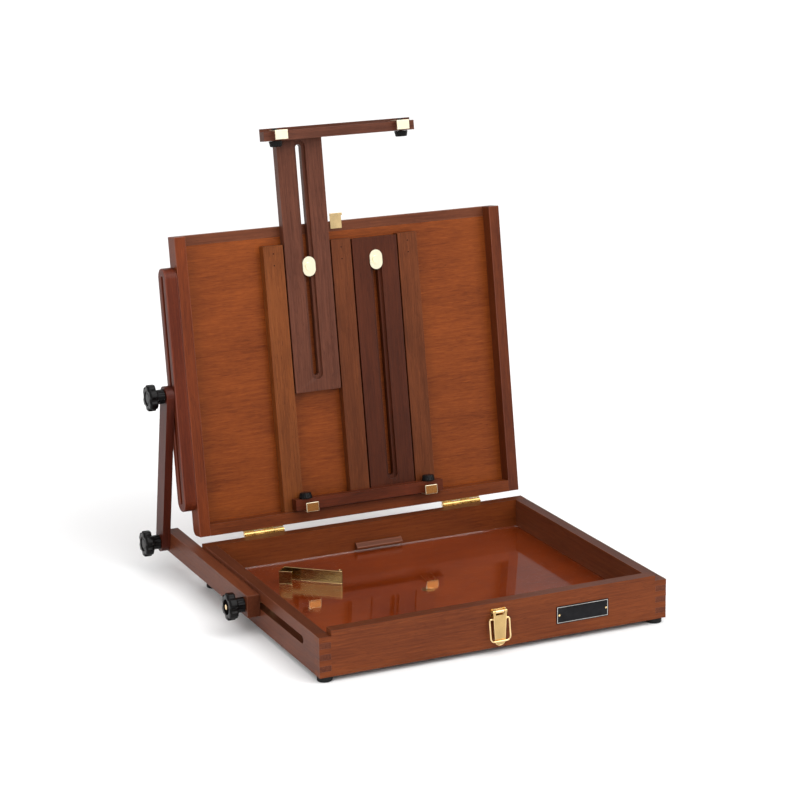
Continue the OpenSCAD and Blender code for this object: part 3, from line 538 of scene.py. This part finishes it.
def thumb_mesh(length, nut_h):
    """Thumb screw standing on its small end: fluted cone, stud through the bar, domed stud head."""
    wide, narrow, head = 8.1 * MM, 7.0 * MM, 7.0 * MM
    stud, nut = 2.0 * MM, 3.6 * MM
    rings = [
        (0.0, round_ring(narrow - 2.2 * MM)), (0.0, round_ring(narrow - 1.4 * MM)),
        (0.25 * MM, fluted(narrow - 0.5 * MM, 0.1 * MM, 18)), (0.9 * MM, fluted(narrow, 0.4 * MM, 18)),
        (4.9 * MM, fluted(wide - 0.35 * MM, 0.5 * MM, 18)), (5.3 * MM, round_ring(wide - 0.2 * MM)),
        (5.8 * MM, round_ring(wide)), (6.4 * MM, round_ring(wide)), (6.8 * MM, round_ring(wide - 0.35 * MM)),
        (head, round_ring(wide - 1.0 * MM)), (head, round_ring(stud)),
        (length - nut_h, round_ring(stud)), (length - nut_h, round_ring(nut - 0.2 * MM)),
        (length - 0.8 * nut_h, round_ring(nut)), (length - 0.35 * nut_h, round_ring(nut - 0.15 * MM)),
        (length - 0.08 * nut_h, round_ring(nut - 0.9 * MM)), (length, round_ring(nut - 1.8 * MM)),
    ]
    return lathe(rings, 108)


def thumb_screws():
    for row, sense, head_h in (("top", 1, 1.7 * MM), ("ledge", -1, 0.22 * MM)):
        for side in ("left", "right"):
            name = f"thumb_screw_{row}_{side}"
            moulded_piece(name, f"{name}_turn", sense, lambda length: thumb_mesh(length, head_h), BLACK)


clamp_knobs()
thumb_screws()


# ---- Brass clip standing on the palette: one strip bent at its left end and curled at its right ----
# Strip looks: satin is the strip's own brass; the others are painted dark and amber reflections, a painted
# glint and a painted highlight.
SATIN, PAINTED_DARK, PAINTED_AMBER, PAINTED_GLINT, PAINTED_HIGHLIGHT = range(5)
STRIP_LOOKS = [BRASS_STRIP, BRASS_PAINTED_DARK, BRASS_PAINTED_AMBER, BRASS_PAINTED_GLINT, BRASS_PLATE]
CURL_R = 2.6


def strip_path():
    """Middle line of the strip from above, with the look of each run. Besides the satin brass, the
    looks are painted dark and amber reflections, painted glints and painted highlights.

    The bends are in mm from the strip's rear left corner.
    """
    low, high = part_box("brass_clip")
    half_t = 0.6
    left, rear = low.x / MM + half_t, high.y / MM - half_t
    end_x, end_y = 61.4, -44.2
    bends = [
        (11.3, -21.0, PAINTED_HIGHLIGHT), (10.4, -20.4, PAINTED_DARK), (1.4, -13.8, PAINTED_DARK), (0.2, -12.4, PAINTED_DARK),
        (0.6, -11.2, SATIN), (10.2, -0.8, SATIN), (11.3, -0.2, SATIN), (12.5, -1.0, SATIN),
        (20.8, -8.8, PAINTED_AMBER), (26.2, -13.6, PAINTED_GLINT), (28.7, -15.9, SATIN), (59.6, -42.6, PAINTED_HIGHLIGHT),
        (end_x, end_y, PAINTED_HIGHLIGHT),
    ]
    run = Vector((32.6, -28.5)).normalized()
    curl_x, curl_y = end_x - CURL_R * run.y, end_y + CURL_R * run.x
    # Round the curl: a painted highlight, a painted dark reflection, then painted glints.
    curl_looks = [PAINTED_HIGHLIGHT, PAINTED_DARK, PAINTED_GLINT, PAINTED_GLINT]
    for turn in range(-65, 190, 25):
        x, y = CURL_R * cos(radians(turn)), CURL_R * sin(radians(turn))
        look = curl_looks.pop(0) if curl_looks else SATIN
        bends.append((curl_x + x * run.x - y * run.y, curl_y + x * run.y + y * run.x, look))
    return [(Vector((left + x, rear + y, 0)) * MM, look) for x, y, look in bends]


def brass_strip():
    """The strip swept along its path with smoothed bends, and a bead along each long edge."""
    low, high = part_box("brass_clip")
    half = 0.4 * MM
    straight = 4 * MM
    parts = 6
    path = strip_path()
    points = [point for point, look in path]
    smooth, looks = [], []
    for i in range(len(points) - 1):
        looks += [path[i][1]] * parts
        before, after = points[max(i - 1, 0)], points[min(i + 2, len(points) - 1)]
        for step in range(parts):
            t = step / parts
            a, b = points[i], points[i + 1]
            tangent_a, tangent_b = (b - before) * 0.5, (after - a) * 0.5
            if (b - a).length > straight:
                tangent_a = tangent_b = b - a
            smooth.append(a * (2 * t**3 - 3 * t**2 + 1) + tangent_a * (t**3 - 2 * t**2 + t)
                          + b * (-2 * t**3 + 3 * t**2) + tangent_b * (t**3 - t**2))
    smooth.append(points[-1])
    shape = bmesh.new()
    rows = []
    for i, point in enumerate(smooth):
        ahead = smooth[min(i + 1, len(smooth) - 1)] - smooth[max(i - 1, 0)]
        normal = Vector((-ahead.y, ahead.x, 0)).normalized() * half
        rows.append([shape.verts.new((point.x + s * normal.x, point.y + s * normal.y, z))
                     for s, z in ((-1, low.z), (1, low.z), (1, high.z), (-1, high.z))])
    for look, a, b in zip(looks, rows, rows[1:]):
        bridge(shape, a, b, look)
    shape.faces.new(reversed(rows[0]))
    shape.faces.new(rows[-1])
    bmesh.ops.recalc_face_normals(shape, faces=shape.faces)
    piece = new_piece("brass_strip", shape, "brass_clip", STRIP_LOOKS, ("brass_clip",))
    ease_edges(piece, 0.12 * MM, 50)
    # The beads are brighter brass than the strip: a painted highlight along its long edges.
    bead = 0.56 * MM
    for name, z in (("low", low.z + bead), ("high", high.z - bead)):
        swept_wire(f"strip_bead_{name}", [Vector((p.x, p.y, z)) for p in smooth], bead, "brass_clip",
                   BRASS)


# ---- Small metal parts ----
def swept_wire(name, points, radius, body, material, replaced=()):
    """A round wire along points, as a mesh."""
    curve = bpy.data.curves.new(name, "CURVE")
    curve.dimensions = "3D"
    curve.bevel_depth = radius
    curve.bevel_resolution = 6
    curve.use_fill_caps = True
    spline = curve.splines.new("POLY")
    spline.points.add(len(points) - 1)
    for target, point in zip(spline.points, points):
        target.co = (*point, 1.0)
    holder = bpy.data.objects.new(name + "_curve", curve)
    bpy.context.scene.collection.objects.link(holder)
    bpy.context.view_layer.update()
    mesh = bpy.data.meshes.new_from_object(holder.evaluated_get(bpy.context.evaluated_depsgraph_get()))
    bpy.data.objects.remove(holder)
    shade_smooth(mesh, 50)
    new_piece(name, mesh, body, [material], replaced)


def latch_wire():
    """The bail: pins into the lever, sides, and a rounded bottom bar, bent from one wire."""
    pin = joint_place("latch_bail_turn")
    low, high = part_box("latch_bail")
    radius = 1.08 * MM
    half = (high.x - low.x) / 2 - radius
    foot_y, foot_z = low.y + radius, low.z + radius
    lean = atan2(pin.y - foot_y, pin.z - foot_z)
    drop = (pin.z - foot_z) / cos(lean)
    shoulder, bend, steps = 1.6 * MM, 5.0 * MM, 10
    side = [(6.0 * MM, 0.0)]
    for i in range(steps + 1):
        angle = pi / 2 * i / steps
        side.append((half - shoulder + shoulder * sin(angle), shoulder - shoulder * cos(angle)))
    for i in range(steps + 1):
        angle = pi / 2 * i / steps
        side.append((half - bend + bend * cos(angle), drop - bend + bend * sin(angle)))
    outline = side + [(-x, d) for x, d in reversed(side)]
    points = [Vector((pin.x + x, pin.y - d * sin(lean), pin.z - d * cos(lean))) for x, d in outline]
    swept_wire("latch_wire", points, radius, "latch_bail", BRASS, ("latch_bail",))


def lever_rims():
    """Raised rolled rims down both sides of the latch lever and round its tongue."""
    low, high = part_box("latch_lever")
    middle = (low.x + high.x) / 2
    half_top = 7.4 * MM
    tongue_r = 6.0 * MM
    tongue_z = low.z + 6.6 * MM
    steps = 24
    face_y = low.y + 0.35 * MM
    top_z = joint_place("latch_lever_turn").z - 3.8 * MM
    points = [Vector((middle + half_top, face_y, top_z))]
    for i in range(steps + 1):
        angle = pi * i / steps
        points.append(Vector((middle + tongue_r * cos(angle), face_y, tongue_z - tongue_r * sin(angle))))
    points.append(Vector((middle - half_top, face_y, top_z)))
    swept_wire("lever_rim", points, 0.45 * MM, "latch_lever", BRASS)


def plate_border():
    """A thin pale line round the blank nameplate."""
    low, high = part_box("nameplate")
    inset, line, proud = 0.9 * MM, 0.45 * MM, 0.06 * MM
    outer = (low.x + inset, low.z + inset, high.x - inset, high.z - inset)
    inner = (outer[0] + line, outer[1] + line, outer[2] - line, outer[3] - line)
    shape = bmesh.new()
    loops = []
    for x0, z0, x1, z1 in (outer, inner):
        for y in (low.y - proud, low.y + 0.1 * MM):
            loops.append([shape.verts.new((x, y, z)) for x, z in ((x0, z0), (x1, z0), (x1, z1), (x0, z1))])
    for a, b in ((0, 1), (0, 2), (2, 3), (1, 3)):
        bridge(shape, loops[a], loops[b])
    bmesh.ops.recalc_face_normals(shape, faces=shape.faces)
    new_piece("nameplate_border", shape, "base", [PALE_PRINT])


brass_strip()
latch_wire()
lever_rims()
plate_border()

for node, shown in frame["nodes"].items():
    surface = {"batten_nails": BLACK, "mast_bolts": BRASS_PLATE}.get(node, SURFACE.get(SLOT[node]))
    if surface is not None:
        shown.data.materials.clear()
        shown.data.materials.append(surface)


# ---- Floor, light and camera ----
def set_stage():
    floor_mesh = bpy.data.meshes.new("floor")
    reach = 30.0
    corners = [(-reach, -reach, 0), (reach, -reach, 0), (reach, reach, 0), (-reach, reach, 0)]
    floor_mesh.from_pydata(corners, [], [(0, 1, 2, 3)])
    floor = bpy.data.objects.new("floor", floor_mesh)
    bpy.context.scene.collection.objects.link(floor)
    floor_mesh.materials.append(FLOOR)


def softbox(name, place, aim, size, power, mirrored=True):
    """A rectangular lamp turned from place to aim. One that isn't mirrored doesn't show in reflections."""
    lamp = bpy.data.lights.new(name, "AREA")
    lamp.shape = "RECTANGLE"
    lamp.size, lamp.size_y = size
    lamp.energy = power
    holder = bpy.data.objects.new(name, lamp)
    holder.visible_glossy = mirrored
    holder.location = place
    holder.rotation_mode = "QUATERNION"
    holder.rotation_quaternion = (Vector(aim) - Vector(place)).to_track_quat("-Z", "Y")
    bpy.context.scene.collection.objects.link(holder)


def set_lights():
    """Four lamps, and a white world that dims towards the back."""
    world = bpy.data.worlds.new("studio")
    bpy.context.scene.world = world
    world.use_nodes = True
    nodes, links = world.node_tree.nodes, world.node_tree.links
    background = nodes["Background"]
    background.inputs["Color"].default_value = (1.0, 1.0, 1.0, 1.0)
    towards_back = nodes.new("ShaderNodeVectorMath")
    towards_back.operation = "DOT_PRODUCT"
    towards_back.inputs[1].default_value = Vector((0.35, 0.9, 0.1)).normalized()
    links.new(nodes.new("ShaderNodeTexCoord").outputs["Generated"], towards_back.inputs[0])
    falling = nodes.new("ShaderNodeMapRange")
    links.new(towards_back.outputs["Value"], falling.inputs["Value"])
    for socket, number in zip(("From Min", "From Max", "To Min", "To Max"), (-0.3, 0.9, 0.85, 0.16)):
        falling.inputs[socket].default_value = number
    links.new(falling.outputs["Result"], background.inputs["Strength"])
    softbox("key", (1.5, -2.8, 3.2), (0, 0, 0.2), (3.4, 3.4), 118)
    softbox("side", (-2.6, -1.8, 1.5), (0, 0, 0.2), (2.0, 1.8), 36, mirrored=False)
    softbox("top", (0.2, -0.2, 2.8), (0, 0, 0), (2.6, 2.6), 26)
    softbox("sweep", (3.0, 6.8, 4.5), (3.0, 6.8, 0), (11.0, 7.5), 330)


def set_camera():
    """The viewing angle: turned right, tipped down and rolled a little, through a long lens."""
    turn, tip, roll = radians(24.45), radians(15.02), radians(-0.78)
    forward = Vector((sin(turn) * cos(tip), cos(turn) * cos(tip), -sin(tip)))
    level = Vector((cos(turn), -sin(turn), 0))
    upward = level.cross(forward)
    across = level * cos(roll) + upward * sin(roll)
    above = upward * cos(roll) - level * sin(roll)
    lens = bpy.data.cameras.new("camera")
    lens.sensor_width = 36.0
    lens.lens = 111.87
    lens.clip_end = 100.0
    camera = bpy.data.objects.new("camera", lens)
    place = Vector((-1.12075, -2.48883, 0.9666))
    rows = [(across[i], above[i], -forward[i], place[i]) for i in range(3)]
    camera.matrix_world = Matrix((*rows, (0, 0, 0, 1)))
    bpy.context.scene.collection.objects.link(camera)
    bpy.context.scene.camera = camera


set_stage()
set_lights()
set_camera()
bpy.context.scene.view_settings.view_transform = "Standard"
